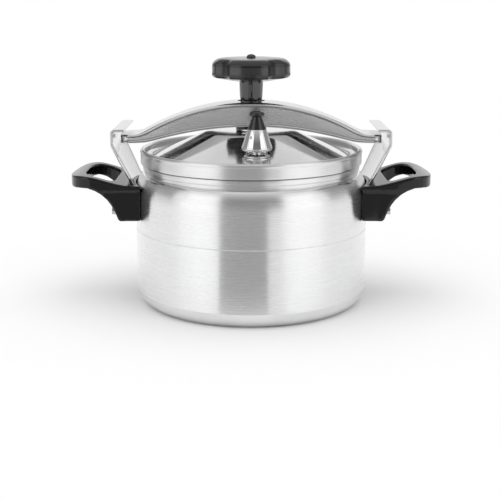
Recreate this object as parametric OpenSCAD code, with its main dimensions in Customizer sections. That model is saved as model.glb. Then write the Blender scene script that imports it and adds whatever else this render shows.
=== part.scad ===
// Seven-litre pressure cooker with a clamp bar: pot, lid, arched bar and star knob.
// Units are millimetres. +Z is up, X runs through the two side handles, the front is -Y.
// The origin is the centre of the base, on the surface that the pot stands on.

/* [Pot] */
// Outer radius of the pot wall
wall_r = 125; // [122:1:126]
// Thickness of the pot wall
wall_t = 3; // [2.5:0.5:3.5]
// Thickness of the pot floor
floor_t = 5; // [4:0.5:6]
// Radius of the flat base inside its polished chamfer
base_r = 115.7; // [113:0.1:118]
// Height of the polished chamfer
chamfer_h = 15.3; // [12:0.1:18]
// Height at which the shoulder starts to turn in
shoulder_z = 118; // [118:0.5:119]
// Height of the shoulder's long curve, from the wall to the neck
shoulder_h = 22; // [20:0.5:22]
// Radius of the neck above the shoulder
neck_r = 115.3; // [115:0.1:116]
// Radius of the rim flange
rim_r = 117; // [116.8:0.1:117.2]
// Underside of the rim flange
rim_z0 = 143.5; // [142:0.5:144]
// Top of the rim flange, where the gasket seals
rim_z = 149.7; // [149:0.1:149.7]

/* [Lid] */
// Outer radius of the raised lid edge
lid_r = 120; // [119.8:0.1:121]
// Top of the raised lid edge
lid_edge_z = 166; // [164:0.5:166]
// Thickness of the lid sheet
lid_t = 2.5; // [2:0.5:2.5]
// Radius of the flat top of the lid cone
plateau_r = 46; // [44:1:48]
// Height of the flat top of the lid cone
plateau_z = 184.2; // [183.8:0.1:184.2]

/* [Valves] */
// Distance of the working valve from the pot axis
vent_r = 82; // [80:1:84]
// Direction of the working valve around the pot axis
vent_angle = -86; // [-92:1:-84]
// Distance of the safety valve from the pot axis
safety_r = 70; // [68:1:72]
// Direction of the safety valve around the pot axis
safety_angle = 90; // [88:1:92]

/* [Clamp bar] */
// Half length of the bar
bar_x = 139.5; // [138:0.5:140]
// Half width of the bar without its lips
bar_y = 23; // [22:0.5:24]
// Thickness of the bar's sheet
bar_t = 2.5; // [2:0.25:2.5]
// Top of the bar at its crown
crown_z = 216.8; // [216:0.2:216.8]
// Top of the bar's flat ends
tongue_z = 181.8; // [181:0.2:182]
// Radius of the arch along the bar's top
arch_r = 221; // [215:1:230]
// Lower edge of the bar at its crown
crown_edge_z = 190.6; // [190.2:0.1:191]
// Radius of the arch along the bar's lower edge
edge_arch_r = 355; // [345:5:370]
// Lower edge of the bar's flat ends
tongue_edge_z = 172.8; // [172.5:0.1:174]

/* [Knob and screw] */
// Radius over the knob's lobes
knob_r = 42; // [40:0.5:44]
// Number of lobes around the knob
knob_lobes = 4; // [4:1:8]
// Radius of the knob's neck
neck_knob_r = 12.8; // [12:0.1:13]
// Lower end of the knob's neck
neck_knob_z = 217; // [217:0.1:217.2]
// Radius of the clamp screw over its thread
screw_r = 7; // [6.5:0.5:7]

/* [Hooks and handles] */
// Distance of the hooks' outer face from the middle of the pot
hook_x = 147.2; // [147:0.1:148]
// Top of the hooks
hook_z = 190.3; // [190:0.1:191]
// Thickness of the hook strap
strap_t = 2.8; // [2.6:0.1:3]
// Half width of the hooks
hook_y = 44; // [40:1:46]
// Distance of the handle tips from the pot axis
handle_x = 195.5; // [190:0.5:200]
// Half width of the handles
handle_y = 51; // [50:0.5:53]
// Underside of the handle blocks
handle_z0 = 93.6; // [93:0.1:95]

/* [Hidden] */
$fn = 96;
FIT = 0.05;     // radial clearance of a running fit
GAP = 0.3;      // clearance between pieces that don't touch
SIDES = [1, -1];

neck_in_r = neck_r - wall_t;
wall_in_r = wall_r - wall_t;
shoulder_r = wall_r - neck_r;
mouth_r = neck_in_r + 0.3;
cone_low = [104, 158.8];          // where the lid cone leaves the trough
roof_z = 157.5;                   // top of the lid's trough over the gasket
lid_low_z = rim_z + 0.6;
bead_r = 2.6;                     // rolled bead along the lid edge

strap_z0 = 100;                   // lower end of the hook strap
strap_lean = 0.515;               // outward lean of the strap, per mm of height
strap_half = 38;                  // half width of the strap behind the handle
tip_x = 132;                      // inner edge of the hook's curl
rivet_z = 113;
rivet_angle = 9;
rivet_r = 2.5;
handle_bolt_z = 101;
handle_bolt_y = 28;
handle_bolt_r = 2.5;
handle_boss_x = 144.7;            // outer end of the bosses under the bolt heads
handle_nut_x = wall_r + 6;

vent_pad_r = 15;
vent_pad_z = 167.6;
stem_r = 5.5;
weight_z = 174.4;                   // lower edge of the regulator weight
weight_top_z = 196;
weight_top_r = 9.2;
safety_pad_r = 10;
safety_pad_z = 172.4;

foot_r = 17;
foot_top_z = 192;
pilot_r = 4.5;
bar_bore_r = 14.6;
bush_r = 11;
bush_flange_r = 17;
lip = 1.5;                        // outward lip along the bar's lower edges
knob_turn0 = -94;                 // direction of the lobe that faces the front

// A smooth bend from a to c that leans towards b
function bend(a, b, c, n = 6) =
    [for (i = [0:n]) let(t = i / n) (1 - t) * (1 - t) * a + 2 * t * (1 - t) * b + t * t * c];

// Points on a circle from angle a0 to a1
function arc(c, r, a0, a1, n = 8) =
    [for (i = [0:n]) let(a = a0 + (a1 - a0) * i / n) c + r * [cos(a), sin(a)]];

// Points on an oval, rx wide and rz high, from angle a0 to a1
function oval(c, rx, rz, a0, a1) = [for (p = arc([0, 0], 1, a0, a1, 12)) c + [rx * p[0], rz * p[1]]];

// Height of an arch at x, down to the flat ends of the bar with an eased corner
function arch(x, crown, r, flat) = let(z = crown - r + sqrt(r * r - x * x))
    (z + flat + sqrt((z - flat) * (z - flat) + 8)) / 2;
function bar_top(x) = min(arch(x, crown_z, arch_r, tongue_z), crown_z);
function bar_edge(x) = arch(x, crown_edge_z, edge_arch_r, tongue_edge_z);

// A half outline from the pot to the tip, joined to its mirror image
function both(p) = concat(p, [for (q = turned(p)) [q[0], -q[1]]]);

// Points t to the left of a path, and the outline between two such lines
function side_of(p, t) = [for (i = [0:len(p) - 1])
    let(a = p[max(i - 1, 0)], b = p[min(i + 1, len(p) - 1)], d = (b - a) / norm(b - a))
    p[i] + t * [-d[1], d[0]]];
function turned(p) = [for (i = [len(p) - 1:-1:0]) p[i]];
function band(p, t0, t1) = concat(side_of(p, t0), turned(side_of(p, t1)));

module at_side(side) { if (side > 0) children(); else mirror([1, 0, 0]) children(); }
module around(r, angle) { rotate([0, 0, angle]) translate([r, 0, 0]) children(); }
module tube(r_out, r_in, z0, z1) {
    rotate_extrude() polygon([[r_in, z0], [r_out, z0], [r_out, z1], [r_in, z1]]);
}
// A side view, drawn in X and Z, made as wide as half to either side
module along_y(half) { translate([0, half, 0]) rotate([90, 0, 0]) linear_extrude(2 * half) children(); }
// A disc or rod along X from x0 to x1
module rod_x(r, x0, x1) { translate([x0, 0, 0]) rotate([0, 90, 0]) cylinder(r = r, h = x1 - x0); }

// ---- Pot ---------------------------------------------------------------------------

module pot_body() {
    color("silver") difference() {
        rotate_extrude($fn = 180) polygon(concat(
            [[0, 0]],
            bend([base_r, 0], [wall_r - 2.2, 4.5], [wall_r, chamfer_h]),
            oval([neck_r, shoulder_z], shoulder_r, shoulder_h, 0, 90),
            [[neck_r, rim_z0]],
            arc([rim_r - 1.5, rim_z0 + 1.5], 1.5, -90, 0, 4),
            arc([rim_r - 1.5, rim_z - 1.5], 1.5, 0, 90, 4),
            [[mouth_r, rim_z], [neck_in_r, rim_z - 1], [neck_in_r, shoulder_z + shoulder_h - wall_t]],
            oval([neck_r, shoulder_z], shoulder_r - wall_t, shoulder_h - wall_t, 90, 0),
            arc([wall_in_r - 14, floor_t + 14], 14, 0, -90),
            [[0, floor_t]]));
        rivet_places() translate([0, 0, rivet_z]) rod_x(rivet_r, wall_in_r - 4, wall_r + 4);
    }
}

// The four rivets, two through each hook strap
module rivet_places() {
    for (side = SIDES, a = [-rivet_angle, rivet_angle])
        at_side(side) rotate([0, 0, a]) children();
}

module hook_rivets() {
    color("gainsboro") rivet_places() translate([0, 0, rivet_z]) {
        rod_x(rivet_r, wall_in_r - 0.6, wall_r + strap_t);
        // low dome inside the pot
        translate([wall_in_r - 0.6, 0, 0]) rotate([0, -90, 0]) rotate_extrude()
            polygon(concat([[0, 0]], bend([5, 0], [4.6, 1.6], [0, 2])));
    }
}

// ---- Hook brackets -----------------------------------------------------------------

// Inner face of the strap: up the wall, then leaning out past the lid
strap_line = concat(
    [[wall_r, strap_z0]],
    bend([wall_r, 119], [wall_r, 124], [wall_r + 3.2, 130.5], 4),
    [[wall_r + 3.2 + 65 * strap_lean, 195.5]]);
// Side view of the space inside the hook, and of the hook around it
hook_in = let(x = hook_x - strap_t, z = hook_z - strap_t) concat(
    [[90, 90], [x, 90]], bend([x, z - 3.5], [x, z], [x - 3.5, z], 5), [[90, z]]);
hook_out = concat(
    [[100, strap_z0], [hook_x, strap_z0]],
    bend([hook_x, hook_z - 6], [hook_x, hook_z], [hook_x - 6, hook_z], 6),
    [[tip_x, hook_z], [tip_x, hook_z - strap_t], [100, hook_z - strap_t]]);
// Outline of the strap seen along X
strap_front = both([[strap_z0, strap_half], [134, strap_half], [162, hook_y], [200, hook_y]]);

// Pocket for the strap in the handle
module strap_pocket() {
    intersection() {
        rotate_extrude($fn = 180) polygon(band(strap_line, GAP, -strap_t - GAP));
        translate([100, -strap_half - GAP, strap_z0 - 1]) cube([60, 2 * strap_half + 2 * GAP, 60]);
    }
}

module hook(side) {
    color("lightgray") at_side(side) difference() {
        intersection() {
            rotate_extrude($fn = 180) polygon(concat([[100, strap_z0]], side_of(strap_line, -strap_t),
                [[100, 195.5]]));
            along_y(hook_y) polygon(hook_out);
            rotate([0, -90, 0]) mirror([0, 0, 1]) linear_extrude(170) polygon(strap_front);
        }
        intersection() {
            rotate_extrude($fn = 180) polygon(concat([[90, 90], [wall_r, 90]], strap_line, [[90, 195.5]]));
            along_y(hook_y + 1) polygon(hook_in);
        }
        for (a = [-rivet_angle, rivet_angle])
            rotate([0, 0, a]) translate([0, 0, rivet_z]) rod_x(rivet_r, wall_r - 2, wall_r + 6);
    }
}

// ---- Handles -----------------------------------------------------------------------

// Outline of the handle from above, moved in by some distance, and of the finger opening
function handle_plan(inset) = let(y = handle_y - inset, x = handle_x - inset) both(concat(
    [[104, y - 4], [118, y - 3]],
    bend([134, y - 2], [150, y], [160, y], 3),
    bend([169, y], [x - 5, y - 4], [x - 2.6, 15], 7),
    [[x - 0.7, 7], [x, 1]]));
opening_plan = both(concat(
    bend([145, 24], [145, 39.5], [158, 39.5], 4),
    bend([163, 39.5], [176, 38.5], [177, 13], 5)));
// Side view of the handle: the block against the pot and the grip that rises to the tip
handle_side = concat(
    [[100, handle_z0], [138.5, handle_z0]],
    bend([140.3, handle_z0 + 2], [146.5, 117], [163, 126.2], 7),
    bend([171, 129.2], [181, 129], [189, 128.2], 4),
    arc([handle_x - 4, 131.8], 4, -70, 0, 4),
    arc([handle_x - 4, 135], 4, 0, 70, 4),
    bend([186, 140.8], [176, 143], [164, 140.2], 5),
    bend([156, 138], [146, 134.6], [134, 131.8], 3),
    [[100, 130]]);
// Side view of the rim that stands proud of the block
rim_side = [[90, 126], [156, 126], [168, 118], [210, 118], [210, 150], [90, 150]];

module handle(side) {
    color([0.09, 0.09, 0.1]) at_side(side) difference() {
        union() {
            intersection() {
                union() {
                    linear_extrude(160) polygon(handle_plan(1.2));
                    intersection() {
                        linear_extrude(160) polygon(handle_plan(0));
                        along_y(90) polygon(rim_side);
                    }
                }
                along_y(90) polygon(handle_side);
            }
            bolt_lines() rod_x(5, handle_nut_x + 4, handle_boss_x);
        }
        translate([0, 0, 90]) linear_extrude(80) polygon(opening_plan);
        translate([0, 0, 80]) cylinder(r = wall_r, h = 80, $fn = 180);
        strap_pocket();
        bolt_lines() {
            rod_x(handle_bolt_r + GAP, wall_r - 10, 170);
            rod_x(6 + GAP, wall_r - 10, handle_nut_x + GAP);
        }
    }
}

// The two bolt axes of one handle
module bolt_lines() {
    for (y = [-handle_bolt_y, handle_bolt_y]) translate([0, y, handle_bolt_z]) children();
}

module handle_bolts() {
    color("silver") for (side = SIDES) at_side(side) bolt_lines() difference() {
        union() {
            rod_x(handle_bolt_r, wall_r + 0.4, handle_boss_x);
            rod_x(3.8, handle_boss_x, handle_boss_x + 3.8);
        }
        translate([handle_boss_x + 2.8, -6, -0.6]) cube([2, 12, 1.2]);
    }
}

// Round nuts welded on the straps, which the handle bolts screw into
module handle_nuts() {
    color("darkgray") for (side = SIDES) at_side(side) difference() {
        bolt_lines() rod_x(6, wall_r - 10, handle_nut_x);
        bolt_lines() rod_x(handle_bolt_r + FIT, wall_r - 11, handle_nut_x + 1);
        translate([0, 0, 80]) cylinder(r = wall_r + strap_t, h = 50, $fn = 180);
    }
}

// ---- Lid ---------------------------------------------------------------------------

// Wall with a rolled bead along its top, then the trough and the cone
lid_outer = concat(
    [[lid_r - 0.6, lid_low_z]],
    arc([lid_r - bead_r, lid_edge_z - bead_r], bead_r, -40, 180, 12),
    bend([lid_r - 2 * bead_r, roof_z + 2.5], [lid_r - 2 * bead_r, roof_z],
        [lid_r - 2 * bead_r - 2.5, roof_z], 4),
    bend([108, roof_z], [106, roof_z + 0.2], cone_low, 3),
    bend([plateau_r + 2, plateau_z - 0.5], [plateau_r, plateau_z], [plateau_r - 4, plateau_z], 4),
    [[0, plateau_z]]);
lid_inner = concat(
    [[0, plateau_z - lid_t], [plateau_r - 3, plateau_z - lid_t]],
    [[103.2, cone_low[1] - lid_t], [103.2, rim_z + 1], [105.8, rim_z + 1],
     [105.8, roof_z - lid_t], [lid_r - lid_t, roof_z - lid_t], [lid_r - lid_t, lid_low_z]]);

module at_vent() { around(vent_r, vent_angle) children(); }
module at_safety() { around(safety_r, safety_angle) children(); }

// The space below the slope of the cone
module under_cone() {
    rotate_extrude($fn = 180) polygon([[plateau_r, 158], [cone_low[0], cone_low[1] - 0.5], cone_low,
        [plateau_r + 2, plateau_z - 0.5], [plateau_r, plateau_z - 0.5]]);
}

module lid() {
    color("gainsboro") difference() {
        union() {
            rotate_extrude($fn = 180) polygon(concat(lid_outer, lid_inner));
            at_seats() translate([0, 0, $seat_z - 6]) cylinder(r = $seat_r, h = 6);
            intersection() {
                at_seats() translate([0, 0, $seat_z - 6]) cylinder(r = $seat_r + 1.6, h = 30);
                under_cone();
            }
        }
        at_seats() {
            translate([0, 0, $seat_z]) cylinder(r = $seat_r, h = 30);
            translate([0, 0, 140]) cylinder(r = $seat_bore, h = 60);
        }
    }
}

// Both valve seats: radius, height and bore
module at_seats() {
    at_vent() let($seat_r = vent_pad_r, $seat_z = vent_pad_z, $seat_bore = stem_r + FIT) children();
    at_safety() let($seat_r = safety_pad_r, $seat_z = safety_pad_z, $seat_bore = 5 + FIT) children();
}

module lid_gasket() {
    color([0.2, 0.2, 0.22]) rotate_extrude($fn = 180) polygon(concat(
        [[106.3, rim_z + 0.1], [109, rim_z + 0.1], [110.2, rim_z + 1.4], [111.4, rim_z + 0.1]],
        [[lid_r - lid_t - 0.2, rim_z + 0.1], [lid_r - lid_t - 0.2, roof_z - lid_t],
         [106.3, roof_z - lid_t]]));
}

// ---- Working valve -----------------------------------------------------------------

module vent_pipe() {
    color("gainsboro") at_vent() {
        tube(stem_r, 1.5, 150, 181);
        rotate_extrude() polygon(concat([[1.5, vent_pad_z]],
            arc([13, vent_pad_z + 0.8], 0.8, -90, 90, 6),
            [[6.5, vent_pad_z + 3.4], [1.5, vent_pad_z + 3.4]]));
        tube(4, 1.5, 181, 184);
    }
}

module vent_washer() {
    color([0.2, 0.2, 0.22]) at_vent() tube(8, stem_r + FIT, 160, 161.6);
}

module nut(across, r_in, z0, h) {
    difference() {
        translate([0, 0, z0]) cylinder(r = across / 2 / cos(30), h = h, $fn = 6);
        translate([0, 0, z0 - 1]) cylinder(r = r_in, h = h + 2);
    }
}

module vent_nut() { color("darkgray") at_vent() nut(17, stem_r + FIT, 154, 6); }

weight_outline = concat(
    [[0, weight_top_z], [0, weight_z + 12], [stem_r + 0.6, weight_z + 12], [stem_r + 0.6, weight_z]],
    arc([12.2, weight_z + 3.4], 3.4, -90, 0, 6),
    [[weight_top_r, weight_top_z]]);

module regulator_weight() {
    color("gainsboro") at_vent() difference() {
        rotate_extrude() polygon(weight_outline);
        translate([0, 0, weight_z + 11]) cylinder(r = 2.5, h = 20);
        // steam hole in the flank
        translate([0, 0, weight_z + 14.8]) rotate([0, 90, -120]) cylinder(r = 1.3, h = 30);
    }
}

module regulator_cap() {
    color([0.09, 0.09, 0.1]) at_vent() difference() {
        rotate_extrude() polygon(concat(
            [[0, weight_top_z], [weight_top_r, weight_top_z], [4.6, 208.4], [5.8, 209]],
            arc([5.9, 211], 1.9, -60, 60, 5),
            bend([6.4, 212.9], [4, 213.9], [0, 213.9], 4)));
        translate([0, 0, weight_top_z - 1]) cylinder(r = 2.5, h = 9);
    }
}

// Needle that closes the vent, with a stud that holds the cap on the weight
module regulator_pin() {
    color("silver") at_vent() {
        translate([0, 0, 186]) cylinder(r = 2.5, h = 15);
        rotate_extrude() polygon([[0, 182.4], [1.4, 183.9], [2.5, 186], [0, 186]]);
    }
}

// ---- Safety valve ------------------------------------------------------------------

module safety_body() {
    color("goldenrod") at_safety() difference() {
        union() {
            translate([0, 0, safety_pad_z]) cylinder(r = 7 / cos(30), h = 4, $fn = 6);
            translate([0, 0, 158]) cylinder(r = 5, h = safety_pad_z - 157);
            translate([0, 0, safety_pad_z + 3]) cylinder(r = 6, h = 181 - safety_pad_z);
        }
        translate([0, 0, 150]) cylinder(r = 2.2, h = 40);
        translate([0, 0, 172]) cylinder(r = 4.6, h = 20);
    }
}

module safety_cap() {
    color("goldenrod") at_safety() rotate_extrude()
        polygon([[1.7, 184], [6, 184], [6, 185.4], [5, 186.4], [1.7, 186.4]]);
}

module safety_washer() { color([0.2, 0.2, 0.22]) at_safety() tube(8, 5 + FIT, 164.9, 166.4); }

module safety_nut() { color("goldenrod") at_safety() nut(14, 5 + FIT, 159.9, 5); }

module safety_plunger() {
    color("firebrick") at_safety()
        for (s = [[160, 172, 2], [172, 174, 4.2], [174, 188.4, 1.4]])
            translate([0, 0, s[0]]) cylinder(r = s[2], h = s[1] - s[0]);
}

// Spring between the plunger's collar and the cap, drawn as its separate turns
module safety_spring() {
    color("silver") at_safety() for (i = [0:5])
        translate([0, 0, 174.5 + i * 1.8]) rotate_extrude() translate([3.2, 0]) circle(r = 0.45, $fn = 16);
}

// ---- Clamp bar and foot ------------------------------------------------------------

// Side view of the bar between its top and its lower edge, moved in by t
bar_steps = [for (i = [-30:30]) i * bar_x / 30];
function bar_side(t, edge) = concat(
    [for (x = bar_steps) [x, bar_top(x) - t]],
    [for (x = turned(bar_steps)) [x, bar_edge(x) - edge]]);

module clamp_bar() {
    color("lightgray") difference() {
        union() {
            along_y(bar_y) polygon(bar_side(0, 0));
            // outward lips
            along_y(bar_y + lip) polygon(concat(
                [for (x = bar_steps) [x, bar_edge(x) + 1.8]],
                [for (x = turned(bar_steps)) [x, bar_edge(x)]]));
        }
        along_y(bar_y - bar_t) polygon(bar_side(bar_t, 5));
        translate([0, 0, 200]) cylinder(r = bar_bore_r, h = 30);
    }
}

// Threaded bush welded under the crown
module bar_bush() {
    top = bar_top(bush_flange_r) - bar_t - FIT;
    color("darkgray") rotate_extrude() polygon([[screw_r + FIT, 197], [bush_r, 197], [bush_r, 209],
        [bush_flange_r, 209], [bush_flange_r, top], [screw_r + FIT, top]]);
}

module clamp_foot() {
    color("silver") rotate_extrude() polygon([[8, plateau_z], [foot_r - 1, plateau_z],
        [foot_r, plateau_z + 1], [foot_r, 187], [foot_r - 1.5, 188.4], [11, 189.2], [11, foot_top_z],
        [pilot_r + FIT, foot_top_z], [pilot_r + FIT, 189], [8, 189]]);
}

// ---- Screw and knob ----------------------------------------------------------------

module clamp_screw() {
    color("silver") difference() {
        union() {
            translate([0, 0, foot_top_z + 0.1]) cylinder(r = screw_r, h = 254 - foot_top_z - 0.1);
            translate([0, 0, 185.5]) cylinder(r = pilot_r, h = 10);
        }
        tube(pilot_r + 3, pilot_r - 0.8, 187.4, 188.7);
    }
}

module foot_circlip() {
    color("darkgray") difference() {
        tube(7, pilot_r - 0.8, 187.5, 188.6);
        translate([0, -1.5, 180]) cube([10, 3, 20]);
    }
}

// Profile of the knob before its lobes are cut
knob_profile = concat(
    [[screw_r + 1, neck_knob_z], [11.6, neck_knob_z], [12.3, neck_knob_z + 3.2],
     [neck_knob_r, 236], [neck_knob_r + 1, 239.6], [22, 240.6], [38, 241.2]],
    bend([40.5, 241.4], [knob_r, 241.6], [knob_r, 244], 4),
    bend([knob_r, 255], [knob_r - 0.6, 258.6], [36.5, 261.2], 5),
    [[30, 262], [5, 262.6], [5, 256], [screw_r + 1, 256]]);

module lobes() {
    difference() {
        circle(r = knob_r + 1, $fn = 120);
        for (i = [0:knob_lobes - 1]) rotate(knob_turn0 + (i + 0.5) * 360 / knob_lobes)
            translate([knob_r + 9, 0]) circle(r = 14);
    }
}

module knob() {
    color([0.1, 0.1, 0.11]) intersection() {
        rotate_extrude($fn = 120) polygon(knob_profile);
        translate([0, 0, 210]) linear_extrude(70) lobes();
    }
}

module knob_insert() { color("goldenrod") tube(screw_r + 1, screw_r, 222, 254); }

module knob_cap() {
    color([0.12, 0.12, 0.13]) rotate_extrude()
        polygon(concat([[0, 257], [4.95, 257]], bend([4.95, 263.2], [4.6, 265.8], [0, 266.2], 5)));
}

pot_body();
handle(-1);  // handle_left
handle(1);  // handle_right
hook(-1);  // hook_left
hook(1);  // hook_right
hook_rivets();
handle_bolts();
handle_nuts();
lid();
lid_gasket();
vent_pipe();
vent_washer();
vent_nut();
safety_body();
safety_washer();
safety_nut();
safety_cap();
safety_plunger();
safety_spring();
regulator_weight();
regulator_cap();
regulator_pin();
clamp_foot();
clamp_bar();
bar_bush();
clamp_screw();
foot_circlip();
knob();
knob_insert();
knob_cap();
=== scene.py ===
"""The looks of a seven-litre clamp-bar pressure cooker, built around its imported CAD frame.

Outlines are in millimetres, as (radius, height) or (x, height) pairs. Meshes are in metres.
"""
import math

import bmesh
import bpy
from mathutils import Matrix, Vector

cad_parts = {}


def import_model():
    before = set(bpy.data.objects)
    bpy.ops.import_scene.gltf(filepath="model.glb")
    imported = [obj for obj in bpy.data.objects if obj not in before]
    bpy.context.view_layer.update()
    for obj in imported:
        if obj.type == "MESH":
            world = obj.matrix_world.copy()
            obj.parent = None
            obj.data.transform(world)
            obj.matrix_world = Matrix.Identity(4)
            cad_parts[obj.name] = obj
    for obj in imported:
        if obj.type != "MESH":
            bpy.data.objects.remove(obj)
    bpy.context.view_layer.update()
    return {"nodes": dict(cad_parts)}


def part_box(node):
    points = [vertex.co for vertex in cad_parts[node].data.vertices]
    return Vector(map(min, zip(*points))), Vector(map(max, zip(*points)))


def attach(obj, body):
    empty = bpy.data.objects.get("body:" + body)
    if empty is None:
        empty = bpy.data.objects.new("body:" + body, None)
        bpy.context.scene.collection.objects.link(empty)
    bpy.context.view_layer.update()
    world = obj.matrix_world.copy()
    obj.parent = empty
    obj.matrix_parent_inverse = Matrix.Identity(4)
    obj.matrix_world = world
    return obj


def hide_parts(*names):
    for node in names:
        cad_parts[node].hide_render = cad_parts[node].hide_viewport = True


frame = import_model()
MM = 0.001
SIDES = {"right": 1, "left": -1}


# ---- Sizes taken from the frame ------------------------------------------------------

def box_mm(node):
    """Lowest and highest corner of a CAD node, in millimetres."""
    low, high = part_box(node)
    return low / MM, high / MM


def centre_mm(node):
    low, high = box_mm(node)
    return (low + high) / 2


WALL_R = box_mm("pot_body")[1].y
RIM_Z = box_mm("pot_body")[1].z
LID_R = box_mm("lid")[1].x
LID_EDGE_Z = box_mm("lid_gasket")[0].z + 16.2    # top of the raised edge, above the gasket
LID_TOP_Z = box_mm("lid")[1].z
BAR_X = box_mm("clamp_bar")[1].x
BAR_Y = box_mm("clamp_bar")[1].y - 1.5       # without the lips
BAR_TOP_Z = box_mm("clamp_bar")[1].z
BAR_LOW_Z = box_mm("clamp_bar")[0].z
HOOK_TOP_Z = box_mm("hook_right")[1].z
HOOK_LOW_Z = box_mm("hook_right")[0].z
HOOK_X = box_mm("hook_right")[1].x           # flat outer face of the hooks
KNOB_LOW_Z = box_mm("knob")[0].z
KNOB_TOP_Z = box_mm("knob")[1].z
VENT = centre_mm("vent_pipe")
SAFETY = centre_mm("safety_body")
SEAT_Z = box_mm("vent_pipe")[0].z + 17.6     # flat seat of the working valve
SAFETY_SEAT_Z = box_mm("safety_nut")[1].z + 7.5
CHAMFER_Z = 15.3                             # top of the polished chamfer
SHOULDER_Z = 118                             # where the wall starts to turn in
SHOULDER_R = 9.7                             # how far the shoulder turns in
SHOULDER_H = 22                              # height of the shoulder's curve
NECK_R = WALL_R - SHOULDER_R
SCRIBE_Z = 81.0                              # the line scribed round the wall
WALL_T = 3.0
STRAP_T = 2.8
STRAP_OFF_Z = 119                            # the straps leave the wall here,
STRAP_OFF_R = 3.2                            # are this far off it
STRAP_LEAN_Z = 130.5                         # at this height
STRAP_LEAN = 0.515                           # and lean out by this slope above it
KNOB_R = 42.0
KNOB_LOBES = 4
KNOB_FRONT_LOBE = math.radians(-94)


# ---- Outlines ------------------------------------------------------------------------

def bend(a, b, c, steps=8):
    """Points of a smooth curve from a to c that leans towards b."""
    out = []
    for i in range(steps + 1):
        t = i / steps
        out.append(tuple((1 - t) ** 2 * p + 2 * t * (1 - t) * q + t * t * r for p, q, r in zip(a, b, c)))
    return out


def arc(centre, radius, a0, a1, steps=10):
    """Points on a circle from angle a0 to a1, in degrees."""
    angles = [math.radians(a0 + (a1 - a0) * i / steps) for i in range(steps + 1)]
    return [(centre[0] + radius * math.cos(a), centre[1] + radius * math.sin(a)) for a in angles]


def rounded(points, steps=4):
    """A closed outline whose corners (x, y, r) are eased over a length r."""
    out = []
    for i, p in enumerate(points):
        if len(p) == 2:
            out.append(p)
            continue
        here = Vector(p[:2])
        before, after = Vector(points[i - 1][:2]), Vector(points[(i + 1) % len(points)][:2])
        start = here + (before - here).normalized() * p[2]
        end = here + (after - here).normalized() * p[2]
        out += bend(tuple(start), tuple(here), tuple(end), steps)
    return out


def arch(x, crown, radius, flat):
    """Height of an arch at x, eased into the flat ends of the bar."""
    z = crown - radius + math.sqrt(radius ** 2 - x ** 2)
    return (z + flat + math.sqrt((z - flat) ** 2 + 8)) / 2


# ---- Mesh helpers --------------------------------------------------------------------

def to_object(name, verts, faces, crisp=35):
    """A smooth-shaded object from points in millimetres, with edges sharper than crisp kept."""
    mesh = bpy.data.meshes.new(name)
    mesh.from_pydata([tuple(c * MM for c in v) for v in verts], [], faces)
    obj = bpy.data.objects.new(name, mesh)
    bpy.context.scene.collection.objects.link(obj)
    tidy(obj, crisp)
    return obj


def tidy(obj, crisp=35):
    """Merges double points, points the faces outwards and shades smooth."""
    bm = bmesh.new()
    bm.from_mesh(obj.data)
    bmesh.ops.remove_doubles(bm, verts=bm.verts, dist=1e-6)
    bmesh.ops.recalc_face_normals(bm, faces=bm.faces)
    bm.to_mesh(obj.data)
    bm.free()
    obj.data.polygons.foreach_set("use_smooth", [True] * len(obj.data.polygons))
    obj.data.set_sharp_from_angle(angle=math.radians(crisp))
    obj.data.update()


def strips(rows, across, closed=True):
    """Faces between neighbouring rows of across points each."""
    faces = []
    count = rows if closed else rows - 1
    for i in range(count):
        j = (i + 1) % rows
        for k in range(across):
            m = (k + 1) % across
            faces.append((i * across + k, i * across + m, j * across + m, j * across + k))
    return faces


def lathe(name, outline, centre=(0, 0), segments=128, crisp=35):
    """Turns a closed (radius, height) outline about an upright axis."""
    verts = []
    for i in range(segments):
        a = 2 * math.pi * i / segments
        verts += [(centre[0] + r * math.cos(a), centre[1] + r * math.sin(a), z) for r, z in outline]
    faces = []
    for face in strips(segments, len(outline)):
        corners = {tuple(round(c, 6) for c in verts[i]) for i in face}
        if len(corners) > 2:
            faces.append(face)
    return to_object(name, verts, faces, crisp)


def swept(name, sections, crisp=35):
    """Joins closed cross-sections of equal length, with flat ends."""
    across = len(sections[0])
    verts = [p for section in sections for p in section]
    faces = strips(len(sections), across, closed=False)
    faces.append(tuple(range(across)))
    faces.append(tuple(range((len(sections) - 1) * across, len(sections) * across)))
    return to_object(name, verts, faces, crisp)


def apply_modifiers(obj):
    """Turns a piece's modifiers into its mesh."""
    graph = bpy.context.evaluated_depsgraph_get()
    made = bpy.data.meshes.new_from_object(obj.evaluated_get(graph))
    obj.modifiers.clear()
    old = obj.data
    obj.data = made
    bpy.data.meshes.remove(old)


def carve(obj, tool, operation="DIFFERENCE"):
    """Cuts tool out of obj, or joins it on, and removes tool."""
    step = obj.modifiers.new("carve", "BOOLEAN")
    step.operation = operation
    step.solver = "EXACT"
    step.object = tool
    apply_modifiers(obj)
    bpy.data.objects.remove(tool)
    tidy(obj)


def soften(obj, width_mm, angle=40, segments=3):
    """A small bevel on the edges of a piece."""
    step = obj.modifiers.new("soften", "BEVEL")
    step.width = width_mm * MM
    step.segments = segments
    step.limit_method = "ANGLE"
    step.angle_limit = math.radians(angle)


def place(obj, body, slot, *materials, stands_for=()):
    """Rides a piece on its body and gives it its materials; the slot argument is not used."""
    for material in materials:
        obj.data.materials.append(material)
    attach(obj, body)
    if stands_for:
        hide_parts(*stands_for)


# ---- Materials -----------------------------------------------------------------------

def set_inputs(node, **values):
    for key, value in values.items():
        node.inputs[key.replace("_", " ")].default_value = value


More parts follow.
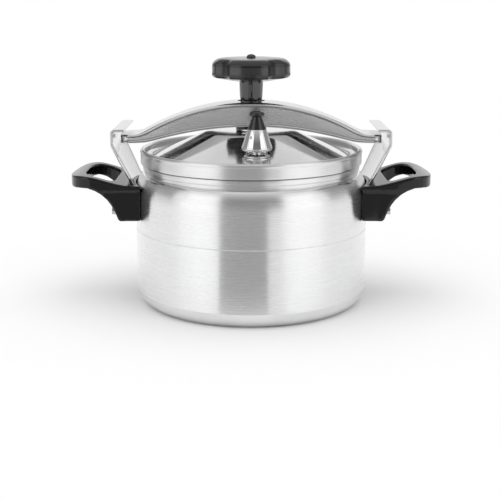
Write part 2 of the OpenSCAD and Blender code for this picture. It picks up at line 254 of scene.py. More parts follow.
def graph(name, color, metallic, roughness):
    """A Principled material and the few nodes that every material shares."""
    material = bpy.data.materials.new(name)
    material.use_nodes = True
    tree = material.node_tree
    shader = tree.nodes["Principled BSDF"]
    shader.inputs["Base Color"].default_value = (*color, 1)
    shader.inputs["Metallic"].default_value = metallic
    shader.inputs["Roughness"].default_value = roughness
    coords = tree.nodes.new("ShaderNodeTexCoord")
    return material, tree, shader, coords.outputs["Object"]


def stretched(tree, coords, scale):
    """Object coordinates scaled unevenly, so that noise runs in streaks."""
    mapping = tree.nodes.new("ShaderNodeMapping")
    mapping.inputs["Scale"].default_value = scale
    tree.links.new(coords, mapping.inputs["Vector"])
    return mapping.outputs["Vector"]


def noise(tree, vector, scale, detail=4, rough=0.6):
    node = tree.nodes.new("ShaderNodeTexNoise")
    set_inputs(node, Scale=scale, Detail=detail, Roughness=rough)
    tree.links.new(vector, node.inputs["Vector"])
    return node.outputs["Fac"]


def remap(tree, value, low, high, start=0.35, end=0.65):
    """Maps noise between start and end to a range from low to high."""
    node = tree.nodes.new("ShaderNodeMapRange")
    set_inputs(node, From_Min=start, From_Max=end, To_Min=low, To_Max=high)
    tree.links.new(value, node.inputs["Value"])
    return node.outputs["Result"]


def shade(tree, value, dark, light):
    """A colour that runs from dark to light as value runs from 0 to 1."""
    node = tree.nodes.new("ShaderNodeMix")
    node.data_type = "RGBA"
    node.inputs[6].default_value = (*dark, 1)
    node.inputs[7].default_value = (*light, 1)
    tree.links.new(value, node.inputs[0])
    return node.outputs[2]


def bump(tree, shader, value, strength, distance_mm):
    node = tree.nodes.new("ShaderNodeBump")
    set_inputs(node, Strength=strength, Distance=distance_mm * MM)
    tree.links.new(value, node.inputs["Height"])
    tree.links.new(node.outputs["Normal"], shader.inputs["Normal"])


def edge_wear(tree, start, end):
    """0 on flat surfaces, 1 on worn outer edges."""
    geometry = tree.nodes.new("ShaderNodeNewGeometry")
    return remap(tree, geometry.outputs["Pointiness"], 0, 1, start, end)


def multiply(tree, a, b):
    node = tree.nodes.new("ShaderNodeMath")
    node.operation = "MULTIPLY"
    tree.links.new(a, node.inputs[0])
    tree.links.new(b, node.inputs[1])
    return node.outputs[0]


def spun(name, color, low, high, bump_mm, fine=2600):
    """Metal brushed or turned round the axis: fine level lines that break up along the surface."""
    material, tree, shader, coords = graph(name, color, 1.0, low)
    lines = noise(tree, stretched(tree, coords, (9, 9, fine)), 1.0, 6, 0.7)
    patches = noise(tree, stretched(tree, coords, (14, 14, 160)), 1.0, 3, 0.5)
    dark = tuple(c * 0.92 for c in color)
    tree.links.new(shade(tree, remap(tree, lines, 0, 1), dark, color), shader.inputs["Base Color"])
    mixed = multiply(tree, remap(tree, lines, low, high), remap(tree, patches, 0.95, 1.05))
    tree.links.new(mixed, shader.inputs["Roughness"])
    bump(tree, shader, lines, 0.25, bump_mm)
    tangent = tree.nodes.new("ShaderNodeTangent")
    tangent.direction_type = "RADIAL"
    tangent.axis = "Z"
    tree.links.new(tangent.outputs["Tangent"], shader.inputs["Tangent"])
    shader.inputs["Anisotropic"].default_value = 0.9
    shader.inputs["Anisotropic Rotation"].default_value = 0.25
    return material


def polished(name, color, roughness, haze=0.03, line_scale=(7, 7, 900), bump_mm=0.006):
    """Polished metal with faint buffing lines and hazy patches."""
    material, tree, shader, coords = graph(name, color, 1.0, roughness)
    lines = noise(tree, stretched(tree, coords, line_scale), 1.0, 5, 0.6)
    smears = noise(tree, coords, 28, 3, 0.5)
    low, high = max(roughness - haze / 2, 0.01), roughness + haze
    tree.links.new(multiply(tree, remap(tree, lines, low, high), remap(tree, smears, 0.8, 1.25)),
                   shader.inputs["Roughness"])
    dark = tuple(c * 0.94 for c in color)
    tree.links.new(shade(tree, remap(tree, smears, 0, 1), dark, color), shader.inputs["Base Color"])
    bump(tree, shader, lines, 0.05, bump_mm)
    return material


def satin(name, color, roughness):
    """Plated or cast metal with a fine even grain."""
    material, tree, shader, coords = graph(name, color, 1.0, roughness)
    grain = noise(tree, coords, 2400, 3, 0.6)
    patches = noise(tree, coords, 90, 3, 0.5)
    tree.links.new(remap(tree, patches, roughness * 0.8, roughness * 1.25), shader.inputs["Roughness"])
    dark = tuple(c * 0.8 for c in color)
    tree.links.new(shade(tree, remap(tree, grain, 0, 1), dark, color), shader.inputs["Base Color"])
    bump(tree, shader, grain, 0.12, 0.02)
    return material


def bakelite(name, level, roughness, ior):
    """Black moulded phenolic: a slight orange peel, dull patches and paler worn edges."""
    material, tree, shader, coords = graph(name, (level,) * 3, 0.0, roughness)
    peel = noise(tree, coords, 420, 2, 0.5)
    patches = noise(tree, coords, 45, 4, 0.6)
    specks = noise(tree, coords, 1500, 2, 0.5)
    worn = multiply(tree, edge_wear(tree, 0.53, 0.62), remap(tree, patches, 0.2, 1.0))
    body = shade(tree, remap(tree, specks, 0, 1, 0.62, 0.8), (level,) * 3, (level * 2.2,) * 3)
    mix = tree.nodes.new("ShaderNodeMix")
    mix.data_type = "RGBA"
    tree.links.new(worn, mix.inputs[0])
    tree.links.new(body, mix.inputs[6])
    mix.inputs[7].default_value = (level * 5, level * 5, level * 4.8, 1)
    tree.links.new(mix.outputs[2], shader.inputs["Base Color"])
    tree.links.new(remap(tree, patches, roughness * 0.85, roughness * 1.2), shader.inputs["Roughness"])
    bump(tree, shader, peel, 0.12, 0.05)
    shader.inputs["IOR"].default_value = ior
    return material


def rubber():
    material, tree, shader, coords = graph("black_rubber", (0.025, 0.025, 0.026), 0.0, 0.6)
    grain = noise(tree, coords, 1300, 3, 0.6)
    dust = noise(tree, coords, 60, 3, 0.6)
    tree.links.new(shade(tree, remap(tree, dust, 0, 1), (0.02, 0.02, 0.021), (0.045, 0.045, 0.046)),
                   shader.inputs["Base Color"])
    tree.links.new(remap(tree, dust, 0.5, 0.72), shader.inputs["Roughness"])
    bump(tree, shader, grain, 0.2, 0.03)
    return material


def signal_red():
    material, tree, shader, coords = graph("signal_red", (0.45, 0.02, 0.015), 0.0, 0.35)
    grain = noise(tree, coords, 500, 3, 0.5)
    tree.links.new(shade(tree, remap(tree, grain, 0, 1), (0.36, 0.015, 0.01), (0.5, 0.03, 0.02)),
                   shader.inputs["Base Color"])
    tree.links.new(remap(tree, grain, 0.3, 0.42), shader.inputs["Roughness"])
    bump(tree, shader, grain, 0.1, 0.03)
    return material


BRUSHED = spun("brushed_wall", (0.89, 0.89, 0.895), 0.23, 0.33, 0.015)
SPUN_RIM = spun("spun_rim", (0.86, 0.86, 0.865), 0.3, 0.4, 0.006, 1500)
POT_POLISHED = polished("pot_polished", (0.86, 0.86, 0.865), 0.12, 0.04)
POT_INSIDE = satin("pot_inside", (0.74, 0.74, 0.745), 0.34)
LID_POLISHED = polished("lid_polished", (0.84, 0.84, 0.845), 0.09, 0.03, (30, 30, 420))
BAR_POLISHED = polished("bar_polished", (0.74, 0.74, 0.745), 0.19, 0.04, (12, 700, 700), 0.002)
STRAP_STEEL = polished("strap_steel", (0.74, 0.74, 0.745), 0.13, 0.05, (700, 12, 700))
CHROME = polished("chrome", (0.86, 0.86, 0.87), 0.03, 0.015, (300, 300, 60))
ZINC = satin("zinc_steel", (0.62, 0.62, 0.625), 0.28)
SCRIBED = satin("scribed_line", (0.9, 0.9, 0.905), 0.6)
RIVET = satin("rivet_metal", (0.78, 0.78, 0.785), 0.3)
BRASS = satin("brass", (0.75, 0.56, 0.27), 0.22)
BAKELITE = bakelite("bakelite", 0.009, 0.17, 1.6)
BAKELITE_GLOSS = bakelite("bakelite_gloss", 0.006, 0.08, 1.85)
BAKELITE_HANDLE = bakelite("bakelite_handle", 0.005, 0.09, 1.45)
BUTTON = bakelite("bakelite_button", 0.03, 0.35, 1.6)
RUBBER = rubber()
RED = signal_red()


# ---- Pot -----------------------------------------------------------------------------

def shoulder(inset, a0, a1, steps):
    """The oval that leads from the wall in to the neck."""
    return [(NECK_R + (SHOULDER_R - inset) * r, SHOULDER_Z + (SHOULDER_H - inset) * z)
            for r, z in arc((0, 0), 1, a0, a1, steps)]


def pot():
    """Pot shell: turned base, chamfer, wall, shoulder, neck, rim flange and inside."""
    wall_in = WALL_R - WALL_T
    neck_in = NECK_R - WALL_T
    flange_z = RIM_Z - 6.2
    neck_z = SHOULDER_Z + SHOULDER_H
    base_r = WALL_R - 9.3
    # turned rings under the base
    rings = [(0, 0.25)]
    for r in range(12, 109, 12):
        rings += [(r, 0.25), (r + 0.6, 0), (r + 5, 0), (r + 5.6, 0.25)]
    outline = rings + [(base_r - 1.5, 0)]
    outline += bend((base_r - 0.6, 0), (WALL_R - 2.2, 4.5), (WALL_R, CHAMFER_Z), 12)
    # the scribed line round the wall is a shallow matt groove
    outline += [(WALL_R, CHAMFER_Z + 0.4), (WALL_R, CHAMFER_Z + 3), (WALL_R, SCRIBE_Z - 1),
                (WALL_R, SCRIBE_Z - 0.55), (WALL_R - 0.12, SCRIBE_Z), (WALL_R, SCRIBE_Z + 0.55),
                (WALL_R, SCRIBE_Z + 1), (WALL_R, SHOULDER_Z - 1)]
    outline += shoulder(0, 0, 84, 24)
    outline += bend((NECK_R + 0.4, neck_z - 0.1), (NECK_R, neck_z), (NECK_R, neck_z + 1), 3)
    outline += bend((NECK_R, flange_z - 0.8), (NECK_R, flange_z), (NECK_R + 0.6, flange_z), 3)
    outline += arc((NECK_R + 0.4, flange_z + 1.3), 1.3, -80, 0, 5)
    outline += arc((NECK_R + 0.4, RIM_Z - 1.3), 1.3, 0, 90, 5)
    outline += bend((neck_in, RIM_Z - 0.2), (neck_in, RIM_Z - 0.3), (neck_in, RIM_Z - 0.5), 1)
    outline += [(neck_in, neck_z - WALL_T + 1)]
    outline += shoulder(WALL_T, 90, 0, 12)
    outline += arc((wall_in - 14, 19), 14, 0, -90, 8)
    outline += [(60, 5), (0, 5)]
    body = lathe("pot_shell", outline, segments=256)
    place(body, "pot", "brushed_aluminium", BRUSHED, POT_POLISHED, POT_INSIDE, SPUN_RIM, SCRIBED,
          stands_for=["pot_body"])
    # the materials' places in the list above
    wall, bright, inside, rim, line = range(5)
    for face in body.data.polygons:
        n, z = face.normal, face.center.z / MM
        x, y = face.center.x / MM, face.center.y / MM
        faces_in = n.x * x + n.y * y < 0 or math.hypot(x, y) < neck_in - 2
        if z > 4.5 and faces_in:
            face.material_index = inside
        elif abs(z - SCRIBE_Z) < 0.5:
            face.material_index = line
        elif CHAMFER_Z < z < neck_z - 3:
            face.material_index = wall
        elif z > neck_z:
            face.material_index = rim
        else:
            face.material_index = bright


# ---- Hook straps and handles -----------------------------------------------------------

def strap_radius(z):
    """Radius of the strap's inner face at height z: up the wall, then leaning out past the lid."""
    if z <= STRAP_OFF_Z:
        return WALL_R
    if z < STRAP_LEAN_Z:
        t = (z - STRAP_OFF_Z) / (STRAP_LEAN_Z - STRAP_OFF_Z)
        return WALL_R + STRAP_OFF_R * t * t
    return WALL_R + STRAP_OFF_R + STRAP_LEAN * (z - STRAP_LEAN_Z)


def hook_rows():
    """Pairs of inner and outer points, each (radius, height, furthest x), from the foot to the tip."""
    far = 500                                # a radius that leaves the furthest x in charge
    tip_x, top, under = 132, HOOK_TOP_Z, HOOK_TOP_Z - STRAP_T
    inner_x = HOOK_X - STRAP_T
    rows = []
    heights = [HOOK_LOW_Z, 108, 116, STRAP_OFF_Z, 122, 125, 128, STRAP_LEAN_Z]
    for z in heights + [133 + 2 * i for i in range(25)]:
        bent = min(max((z - STRAP_OFF_Z) / (STRAP_LEAN_Z - STRAP_OFF_Z), 0), 1)
        thick = STRAP_T * math.hypot(1, STRAP_LEAN * bent)
        rows.append(((strap_radius(z), z, inner_x), (strap_radius(z) + thick, z, HOOK_X)))
    inner = bend((inner_x, under - 3.5), (inner_x, under), (inner_x - 3.5, under), 8)
    outer = bend((HOOK_X, top - 6), (HOOK_X, top), (HOOK_X - 6, top), 8)
    inner += [(tip_x + 4, under), (tip_x + 0.4, under)]
    outer += [(tip_x + 4, top), (tip_x + 0.4, top)]
    rows += [((far, a[1], a[0]), (far, b[1], b[0])) for a, b in zip(inner, outer)]
    return rows


def strap_half_width(z):
    """Half width of the strap along Y: narrow behind the handle, wide at the hook."""
    t = min(max((z - 134) / 28, 0), 1)
    return 38 + 6 * t


def hook(name, side):
    """The bent strap that holds one end of the clamp bar."""
    rows = hook_rows()
    loop = [inner for inner, outer in rows] + [outer for inner, outer in rows[::-1]]
    verts = []
    steps = 32
    for k in range(steps + 1):
        for r, z, x_max in loop:
            y = strap_half_width(z) * (2 * k / steps - 1)
            verts.append((side * min(math.sqrt(r * r - y * y), x_max), y, z))
    across = len(loop)
    faces = strips(steps + 1, across, closed=False)
    for start in (0, steps * across):
        faces += [tuple(start + i for i in (k, k + 1, across - 2 - k, across - 1 - k))
                  for k in range(len(rows) - 1)]
    strap = to_object(f"hook_strap_{name}", verts, faces, 50)
    soften(strap, 0.95, 50, 4)
    place(strap, "pot", "stainless", STRAP_STEEL, stands_for=[f"hook_{name}"])


def handle(name):
    """The moulded handle: the CAD shape with its corners melted into soft mould radii."""
    mesh = frame["nodes"][f"handle_{name}"].data.copy()
    mesh.materials.clear()
    loop = bpy.data.objects.new(f"loop_handle_{name}", mesh)
    bpy.context.scene.collection.objects.link(loop)
    tidy(loop)
    remesh = loop.modifiers.new("remesh", "REMESH")
    remesh.mode = "VOXEL"
    remesh.voxel_size = 0.0009
    ease = loop.modifiers.new("ease", "SMOOTH")
    ease.factor = 0.5
    ease.iterations = 12
    apply_modifiers(loop)
    loop.data.polygons.foreach_set("use_smooth", [True] * len(loop.data.polygons))
    place(loop, "pot", "bakelite", BAKELITE_HANDLE, stands_for=[f"handle_{name}"])


# ---- Lid and its valves ------------------------------------------------------------------

def lid():
    """Spun lid: wall with a rolled bead, trough, cone, flat top and the two valve seats."""
    sheet_t = 2.5
    roof_z = LID_EDGE_Z - 8.5
    bead_r = 2.6
    wall_r = LID_R - 0.6
    low_z = RIM_Z + 0.6
    cone_low = (104, roof_z + 1.3)
    outline = bend((wall_r, low_z + 1.2), (wall_r, low_z), (wall_r - 0.9, low_z), 3)[::-1]
    outline += [(wall_r, LID_EDGE_Z - 9), (wall_r, LID_EDGE_Z - 5)]
    outline += arc((LID_R - bead_r, LID_EDGE_Z - bead_r), bead_r, -38, 180, 22)
    inner_r = LID_R - 2 * bead_r
    outline += bend((inner_r, roof_z + 3), (inner_r, roof_z), (inner_r - 2.8, roof_z), 6)
    outline += bend((109, roof_z), (106, roof_z), cone_low, 6)
    # fine steps keep the mirror smooth round the valve seats
    cone_top = (50, LID_TOP_Z - 1.2)
    for i in range(1, 24):
        t = i / 24
        outline.append(tuple(a + (b - a) * t for a, b in zip(cone_low, cone_top)))
    outline += bend(cone_top, (46.6, LID_TOP_Z), (40, LID_TOP_Z), 8)
    outline += [(20, LID_TOP_Z), (0, LID_TOP_Z), (0, LID_TOP_Z - sheet_t), (43, LID_TOP_Z - sheet_t)]
    outline += [(103.2, cone_low[1] - sheet_t), (103.2, RIM_Z + 1), (105.8, RIM_Z + 1),
                (105.8, roof_z - sheet_t), (LID_R - 2.5, roof_z - sheet_t), (LID_R - 2.5, low_z)]
    shell = lathe("lid_shell", outline, segments=256)
    for spot, radius, z in ((VENT, 15, SEAT_Z), (SAFETY, 10, SAFETY_SEAT_Z)):
        at = (spot.x, spot.y)
        pad = lathe("pad", rounded([(0, z - 6), (radius, z - 6), (radius, z, 0.8), (0, z)]), at, 64)
        carve(shell, pad, "UNION")
        carve(shell, lathe("well", [(0, z), (radius - 0.8, z), (radius + 0.3, z + 12), (0, z + 12)], at, 64))
    place(shell, "lid", "polished_aluminium", LID_POLISHED, SPUN_RIM, stands_for=["lid"])
    for face in shell.data.polygons:
        if math.hypot(face.center.x, face.center.y) > inner_r * MM:
            face.material_index = 1


def vent():
    """The working valve's turned base and stem."""
    at = (VENT.x, VENT.y)
    low = box_mm("vent_pipe")[0].z
    stem = 5.5
    z = SEAT_Z
    outline = [(1.5, low), (stem, low, 0.6)]
    outline += [(stem, z), (13.2, z, 0.8), (13.8, z + 1.3, 0.8), (12, z + 2.2, 0.8), (8, z + 2.8, 1.5),
                (stem, z + 5.5, 1.5), (stem, low + 31, 0.8), (4, low + 31.8), (4, low + 34, 0.6),
                (1.5, low + 34)]
    piece = lathe("vent_stem", rounded(outline), at, 64)
    place(piece, "lid", "polished_aluminium", POT_POLISHED, stands_for=["vent_pipe"])


def regulator():
    """The chrome weight that hangs over the stem, and its black grip."""
    at = (VENT.x, VENT.y)
    low = box_mm("regulator_weight")[0].z
    top = box_mm("regulator_weight")[1].z
    bore = 6.1
    top_r = 9.2
    outline = [(0, top), (0, low + 12), (bore, low + 12), (bore, low + 0.6), (bore + 0.8, low)]
    outline += [(11.8, low)] + arc((12.9, low + 2.6), 2.6, -75, 15, 8)
    outline += [(15.2, low + 4.4), (top_r + 0.3, top - 0.6), (top_r, top - 0.1), (top_r - 0.6, top)]
    cone = lathe("weight_cone", outline, at, 96)
    # steam hole in the flank, drilled square to it
    hole = lathe("hole", [(0, 0), (1.4, 0), (1.4, 12), (0, 12)], (0, 0), 32)
    turn = Matrix.Rotation(math.radians(-120), 4, "Z") @ Matrix.Rotation(math.radians(90), 4, "Y")
    spot = Matrix.Translation(Vector((VENT.x, VENT.y, low + 14.2)) * MM)
    hole.data.transform(spot @ turn @ Matrix.Translation((0, 0, 6.4 * MM)))
    carve(cone, hole)
    place(cone, "regulator", "chrome", CHROME, stands_for=["regulator_weight"])

    low, top = top, box_mm("regulator_cap")[1].z
    outline = [(0, low + 0.02), (top_r - 0.3, low + 0.02, 0.3), (top_r - 0.2, low + 0.7, 0.3)]
    outline += [(4.6, low + 12.4, 0.5), (5.9, low + 13.2, 0.5), (7.7, low + 14, 0.8),
                (7.7, low + 16.2, 1.0), (5.8, top - 0.4, 1.4), (0, top)]
    grip = lathe("weight_grip", rounded(outline), at, 72)
    place(grip, "regulator", "bakelite", BAKELITE, stands_for=["regulator_cap"])


def spring():
    """The safety valve's wire spring, coiled between the plunger and the cap."""
    low, high = box_mm("safety_spring")
    wire, turns, around, ring = 0.45, 6, 20, 8
    radius = (high.x - low.x) / 2 - wire
    sections = []
    steps = turns * around
    for i in range(steps + 1):
        a = 2 * math.pi * i / around
        z = low.z + wire + (high.z - low.z - 2 * wire) * i / steps
        section = []
        for k in range(ring):
            b = 2 * math.pi * k / ring
            r = radius + wire * math.cos(b)
            section.append((SAFETY.x + r * math.cos(a), SAFETY.y + r * math.sin(a), z + wire * math.sin(b)))
        sections.append(section)
    place(swept("spring_wire", sections, 60), "lid", "zinc_steel", ZINC, stands_for=["safety_spring"])


# ---- Clamp bar, foot, screw and knob ---------------------------------------------------------

def bar_section(x, sheet_t=2.5, lip=1.5):
    """Cross-section of the pressed bar at x: outer skin, then inner skin back."""
    top = min(arch(x, BAR_TOP_Z, 221, BAR_TOP_Z - 35), BAR_TOP_Z)
    edge = arch(x, BAR_LOW_Z + 17.6, 355, BAR_LOW_Z - 0.2)
    # the ends are rounded in plan
    end = max(abs(x) - (BAR_X - 9), 0)
    half = BAR_Y - (9 - math.sqrt(max(81 - end * end, 0)))
    corner = min(5, (top - edge) * 0.38)
    crowning = 0.02 * (top - edge)
    side = [(half + lip, edge + 0.3), (half + lip + 0.05, edge + 1.2)]
    side += bend((half + lip - 0.2, edge + 1.9), (half, edge + 2.2), (half, edge + 3.6), 4)
    side += bend((half, top - crowning - corner), (half, top - crowning), (half - corner, top - crowning), 7)
    side += [(half * 0.55, top - crowning * 0.3), (half * 0.25, top - crowning * 0.06)]
    inner = [(half * 0.25, top - sheet_t), (half - sheet_t - corner * 0.5, top - crowning - sheet_t)]
    inner += bend((half - sheet_t - corner * 0.4, top - crowning - sheet_t),
                  (half - sheet_t, top - crowning - sheet_t),
                  (half - sheet_t, top - crowning - sheet_t - corner * 0.4), 3)
    inner += bend((half - sheet_t, edge + 4.2), (half - sheet_t, edge + 1), (half - 0.6, edge), 4)
    outer = [(x, y, z) for y, z in side] + [(x, -y, z) for y, z in side[::-1]]
    back = [(x, -y, z) for y, z in inner[::-1]] + [(x, y, z) for y, z in inner]
    return outer + back


def clamp_bar():
    """The pressed bar, open below, with a hole for the screw's bush."""
    stations = [i * 2.5 for i in range(int((BAR_X - 9) / 2.5) + 1)]
    stations += [BAR_X - 9 + 9 * math.sin(math.pi / 2 * i / 8) for i in range(1, 9)]
    stations = [-x for x in stations[:0:-1]] + stations
    bar = swept("arch_bar", [bar_section(x) for x in stations], 50)
    soften(bar, 0.35, 60, 2)
    apply_modifiers(bar)
    bore_r = 14.6
    carve(bar, lathe("bore", [(0, 200), (bore_r, 200), (bore_r, 225), (0, 225)], segments=96))
    place(bar, "bar", "polished_steel", BAR_POLISHED, stands_for=["clamp_bar"])


def clamp_foot():
    """The swivelling foot that presses on the lid."""
    low, high = box_mm("clamp_foot")
    pad_z = low.z + 4.8
    bore = 4.55
    outline = [(8, low.z, 0.5), (16.2, low.z, 0.8), (high.x, low.z + 1.2, 0.6), (high.x, low.z + 2.6, 0.8)]
    outline += [(15.3, low.z + 4.2, 0.8), (11.4, pad_z, 0.8), (11, high.z, 0.7), (bore, high.z, 0.3)]
    outline += [(bore, pad_z), (8, pad_z)]
    foot = lathe("swivel_foot", rounded(outline), segments=96)
    place(foot, "foot", "zinc_steel", CHROME, stands_for=["clamp_foot"])


def clamp_screw():
    """The screw's threaded shank, with a real helix, above its plain pilot."""
    low, high = box_mm("clamp_screw")
    pitch, crest, depth = 3.0, high.x, 1.1
    thread_z = low.z + 7.2
    around, per_turn = 48, 12
    sections = []
    z = thread_z
    while z < high.z:
        fade = min((z - thread_z) / 2, (high.z - z) / 2, 1)
        section = []
        for k in range(around):
            a = 2 * math.pi * k / around
            phase = (z / pitch - a / (2 * math.pi)) % 1
            groove = min(max(abs(phase - 0.5) * 4 - 0.5, 0), 1)
            r = crest - 0.3 * (1 - fade) - depth * groove * fade
            section.append((r * math.cos(a), r * math.sin(a), z))
        sections.append(section)
        z += pitch / per_turn
    shank = swept("screw_shank", sections, 60)
    place(shank, "screw", "zinc_steel", ZINC)
    pilot_r, groove_r, shank_r = 4.5, 3.7, 6.6
    pilot = [(0, low.z), (pilot_r, low.z, 0.6), (pilot_r, low.z + 1.9), (groove_r, low.z + 1.9)]
    pilot += [(groove_r, low.z + 3.2), (pilot_r, low.z + 3.2), (pilot_r, thread_z - 0.6)]
    pilot += [(shank_r, thread_z - 0.5), (shank_r, thread_z + 1), (0, thread_z + 1)]
    tip = lathe("screw_pilot", rounded(pilot), segments=48)
    place(tip, "screw", "zinc_steel", ZINC, stands_for=["clamp_screw"])


def lobe_radius(a):
    """Outline of the knob from above, at angle a: a circle with round scallops."""
    notch_r, middle, ease = 14, KNOB_R + 9, 2.5
    step = 2 * math.pi / KNOB_LOBES
    off = abs(math.sin((a - KNOB_FRONT_LOBE) % step - step / 2))      # from the nearest scallop's middle
    reach = notch_r / middle
    cut = middle * math.sqrt(1 - off ** 2) - math.sqrt(max(notch_r ** 2 - (middle * off) ** 2, 0))
    cut += 60 * max(off - reach, 0)
    # a soft minimum rounds the crest where the scallop meets the circle
    return -ease * math.log(math.exp(-cut / ease) + math.exp(-KNOB_R / ease))


def knob():
    """The star knob with its neck, and the button in its top."""
    low, top = KNOB_LOW_Z, KNOB_TOP_Z
    under = top - 22                      # underside of the head
    outline = rounded([(8, low, 0.3), (11.4, low, 0.6), (12.1, low + 3.2, 0.8), (12.6, under - 4.6, 2),
                       (13.8, under - 1, 1.5), (22, under, 3)])
    outline += bend((38.6, under + 0.8), (KNOB_R - 0.2, under + 1), (KNOB_R, under + 4.2), 6)
    outline += [(KNOB_R, under + 7), (KNOB_R, under + 10), (KNOB_R, under + 13)]
    outline += bend((KNOB_R, under + 14.2), (KNOB_R - 0.6, under + 17.6), (36.8, under + 20.2), 8)
    outline += bend((36.2, under + 20.5), (34, under + 21.3), (29, under + 21.5), 4)
    outline += [(20, under + 21.7), (10, under + 21.9), (5.6, top)]
    outline += rounded([(5, top, 0.4), (5, top - 6.4), (8, top - 6.4)])
    around = 288
    verts = []
    for i in range(around):
        a = 2 * math.pi * i / around
        scale = lobe_radius(a) / KNOB_R
        for r, z in outline:
            share = min(max((r - 15) / (KNOB_R - 15), 0), 1) ** 1.6
            rr = r * (1 + (scale - 1) * share)
            verts.append((rr * math.cos(a), rr * math.sin(a), z))
    head = to_object("star_knob", verts, strips(around, len(outline)), 40)
    place(head, "screw", "bakelite", BAKELITE, BAKELITE_GLOSS, stands_for=["knob"])
    # the neck is glossier than the head
    for face in head.data.polygons:
        if face.center.z < (under - 1) * MM:
            face.material_index = 1

    cap_low, cap_high = box_mm("knob_cap")
    cap = [(0, cap_low.z), (4.7, cap_low.z), (4.9, cap_low.z + 0.3), (4.9, cap_low.z + 6)]
    cap += bend((4.8, cap_low.z + 6.4), (4.4, cap_high.z - 0.4), (0, cap_high.z), 8)
    place(lathe("knob_button", cap, segments=48), "screw", "bakelite", BUTTON, stands_for=["knob_cap"])


# ---- CAD nodes that stay: bevels and materials only --------------------------------------------

def keep(node, material, bevel=0.25):
    """Gives a CAD node its material and a small bevel in millimetres."""
    obj = frame["nodes"][node]
    obj.data.materials.clear()
    obj.data.materials.append(material)
    obj.data.polygons.foreach_set("use_smooth", [True] * len(obj.data.polygons))
    obj.data.set_sharp_from_angle(angle=math.radians(35))
    if bevel:
        soften(obj, bevel, 50, 2)


def kept_nodes():
    keep("hook_rivets", RIVET)
    keep("handle_bolts", ZINC, 0.4)
    keep("handle_nuts", ZINC)
    keep("lid_gasket", RUBBER, 0.3)
    keep("vent_washer", RUBBER)
    keep("vent_nut", ZINC, 0.4)
    keep("safety_body", BRASS, 0.3)
    keep("safety_washer", RUBBER)
    keep("safety_nut", BRASS, 0.4)
    keep("safety_cap", BRASS, 0.3)
    keep("safety_plunger", RED, 0.3)
    keep("regulator_pin", ZINC, 0)
    keep("bar_bush", ZINC, 0.4)
    keep("foot_circlip", ZINC, 0.2)
    keep("knob_insert", BRASS, 0.2)


# ---- Studio ------------------------------------------------------------------------------------

def emission(tree, level):
    glow = tree.nodes.new("ShaderNodeEmission")
    glow.inputs["Color"].default_value = (level, level, level, 1)
    return glow


def floor():
    """Pale paper that catches the pot's shadow and fades to plain white further out."""
    mesh = bpy.data.meshes.new("floor")
    reach = 12.0
    corners = [(-reach, -reach, 0), (reach, -reach, 0), (reach, reach, 0), (-reach, reach, 0)]
    mesh.from_pydata([(x, y, z - 0.0002) for x, y, z in corners], [], [(0, 1, 2, 3)])
    ground = bpy.data.objects.new("floor", mesh)
    bpy.context.scene.collection.objects.link(ground)
    paper, tree, shader, coords = graph("paper", (0.93, 0.93, 0.93), 0.0, 0.7)
    tone = shade(tree, noise(tree, coords, 3, 2), (0.925,) * 3, (0.935,) * 3)
    tree.links.new(tone, shader.inputs["Base Color"])
    shader.inputs["Specular IOR Level"].default_value = 0
    away = tree.nodes.new("ShaderNodeVectorMath")
    away.operation = "LENGTH"
    tree.links.new(coords, away.inputs[0])
    mixed = tree.nodes.new("ShaderNodeMixShader")
    tree.links.new(remap(tree, away.outputs["Value"], 0, 1, 0.2, 0.42), mixed.inputs[0])
    tree.links.new(shader.outputs[0], mixed.inputs[1])
    tree.links.new(emission(tree, 1.0).outputs[0], mixed.inputs[2])
    tree.links.new(mixed.outputs[0], tree.nodes["Material Output"].inputs["Surface"])
    mesh.materials.append(paper)


def card(name, corners, level):
    """A flat reflector or flag that shows only in reflections."""
    mesh = bpy.data.meshes.new(name)
    mesh.from_pydata(corners, [], [tuple(range(len(corners)))])
    obj = bpy.data.objects.new(name, mesh)
    bpy.context.scene.collection.objects.link(obj)
    material = bpy.data.materials.new(name)
    material.use_nodes = True
    tree = material.node_tree
    tree.nodes.clear()
    out = tree.nodes.new("ShaderNodeOutputMaterial")
    tree.links.new(emission(tree, level).outputs[0], out.inputs["Surface"])
    mesh.materials.append(material)
    obj.visible_camera = False
    obj.visible_diffuse = False
    obj.visible_shadow = False


def from_front(angle, distance, z):
    """A point in metres, at an angle in degrees from the front."""
    a = math.radians(angle)
    return (distance * math.sin(a), -distance * math.cos(a), z)


def ring_part(name, a0, a1, r0, r1, level):
    """A flag that lies on the floor between two directions and two distances from the pot."""
    steps = max(int(abs(a1 - a0) / 15), 1)
    angles = [a0 + (a1 - a0) * i / steps for i in range(steps + 1)]
    card(name, [from_front(a, r0, 0.0004) for a in angles]
         + [from_front(a, r1, 0.0004) for a in angles[::-1]], level)


def screen(name, a0, a1, distance, z0, z1, level):
    """An upright screen between two directions."""
    card(name, [from_front(a0, distance, z0), from_front(a1, distance, z0),
                from_front(a1, distance, z1), from_front(a0, distance, z1)], level)


def strip_flag():
    """The dark strip that a round wall mirrors between two of its upright lines."""
    corners = []
    for angle, reach in ((-15.5, (0.06, 1.15)), (8, (1.15, 0.06))):
        start = from_front(angle, WALL_R * MM, 0.0004)
        for along in reach:
            away = from_front(2 * angle, along, 0)
            corners.append((start[0] + away[0], start[1] + away[1], start[2]))
    card("strip_flag", corners, 0.41)


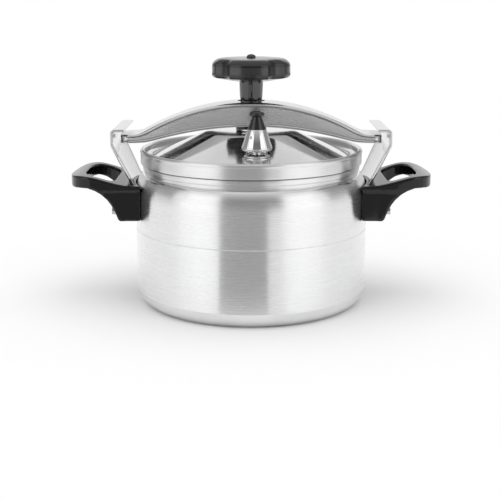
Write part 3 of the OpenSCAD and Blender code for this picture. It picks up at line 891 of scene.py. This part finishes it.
def studio():
    """Flags and screens that the polished metal and the black plastics mirror."""
    strip_flag()
    # what the clamp bar's front and the knob's neck mirror
    ring_part("bar_flag", -15, 15, 1.3, 1.95, 0.42)
    ring_part("neck_flag_front", -28, 28, 2.1, 3.05, 0.04)
    ring_part("neck_flag_back", 72, 288, 2.1, 3.05, 0.1)
    # bright fields beside the wall's dark strip; the neck lamps draw two light lines on the neck
    for name, sign in SIDES.items():
        screen(f"lamp_{name}", 30 * sign, 70 * sign, 2.2, 0.001, 0.17, 2)
        screen(f"neck_lamp_{name}", 42 * sign, 54 * sign, 2.1, 0.02, 0.13, 3.4)
        screen(f"high_lamp_{name}", 32 * sign, 66 * sign, 2.2, 0.75, 1.6, 1.3)
        screen(f"dark_side_{name}", 78 * sign, 150 * sign, 1.0, 0.2, 1.1, 0.3)


def world():
    """A soft white room with a dimmer front, where the camera would stand."""
    made = bpy.data.worlds.new("studio")
    bpy.context.scene.world = made
    made.use_nodes = True
    tree = made.node_tree
    sky = tree.nodes["Background"]
    coords = tree.nodes.new("ShaderNodeTexCoord")
    parts = tree.nodes.new("ShaderNodeSeparateXYZ")
    tree.links.new(coords.outputs["Generated"], parts.inputs[0])
    turn = tree.nodes.new("ShaderNodeMath")
    turn.operation = "ARCTAN2"
    back = tree.nodes.new("ShaderNodeMath")
    back.operation = "MULTIPLY"
    back.inputs[1].default_value = -1
    tree.links.new(parts.outputs["Y"], back.inputs[0])
    tree.links.new(parts.outputs["X"], turn.inputs[0])
    tree.links.new(back.outputs[0], turn.inputs[1])
    ramp = tree.nodes.new("ShaderNodeValToRGB")
    around = remap(tree, turn.outputs[0], 0, 1, -math.pi, math.pi)
    tree.links.new(around, ramp.inputs[0])
    # direction in degrees from the front, and its brightness
    bands = [(-180, 0.95), (-110, 0.9), (-60, 0.95), (-36, 0.9), (-27, 0.18), (27, 0.18), (36, 0.9),
             (60, 0.95), (110, 0.9), (180, 0.95)]
    stops = ramp.color_ramp.elements
    while len(stops) < len(bands):
        stops.new(0.5)
    for stop, (angle, level) in zip(stops, bands):
        stop.position = (angle + 180) / 360
        stop.color = (level, level, level, 1)
    # overhead the room is evenly bright
    height = remap(tree, parts.outputs["Z"], 0, 1, 0.45, 0.8)
    mixed = tree.nodes.new("ShaderNodeMix")
    mixed.data_type = "RGBA"
    tree.links.new(height, mixed.inputs[0])
    tree.links.new(ramp.outputs[0], mixed.inputs[6])
    mixed.inputs[7].default_value = (0.72, 0.72, 0.72, 1)
    seen = tree.nodes.new("ShaderNodeMix")
    seen.data_type = "RGBA"
    path = tree.nodes.new("ShaderNodeLightPath")
    tree.links.new(path.outputs["Is Camera Ray"], seen.inputs[0])
    tree.links.new(mixed.outputs[2], seen.inputs[6])
    seen.inputs[7].default_value = (1, 1, 1, 1)
    tree.links.new(seen.outputs[2], sky.inputs["Color"])
    sky.inputs["Strength"].default_value = 1.0


def softbox(name, location, target, size, power):
    """A large soft lamp that is not seen in reflections."""
    lamp = bpy.data.lights.new(name, "AREA")
    lamp.shape = "RECTANGLE"
    lamp.size, lamp.size_y = size
    lamp.energy = power
    obj = bpy.data.objects.new(name, lamp)
    obj.location = location
    obj.rotation_euler = (Vector(target) - Vector(location)).to_track_quat("-Z", "Y").to_euler()
    obj.visible_glossy = False
    bpy.context.scene.collection.objects.link(obj)


def camera():
    """The eye in front of the pot, looking down by ten degrees."""
    lens = bpy.data.cameras.new("camera")
    lens.sensor_width = 36
    lens.lens = 73.7
    lens.shift_x, lens.shift_y = -0.0024, -0.143
    eye = bpy.data.objects.new("camera", lens)
    eye.location = (0, -1.1, 0.327)
    eye.rotation_euler = (math.radians(90 - 10.1), 0, 0)
    bpy.context.scene.collection.objects.link(eye)
    bpy.context.scene.camera = eye


camera()
pot()
for side_name, side_sign in SIDES.items():
    hook(side_name, side_sign)
    handle(side_name)
lid()
vent()
regulator()
spring()
clamp_bar()
clamp_foot()
clamp_screw()
knob()
kept_nodes()
floor()
studio()
world()
softbox("top_light", (0, -0.2, 1.5), (0, 0, 0.1), (1.6, 1.6), 11)
bpy.context.scene.view_settings.view_transform = "Standard"
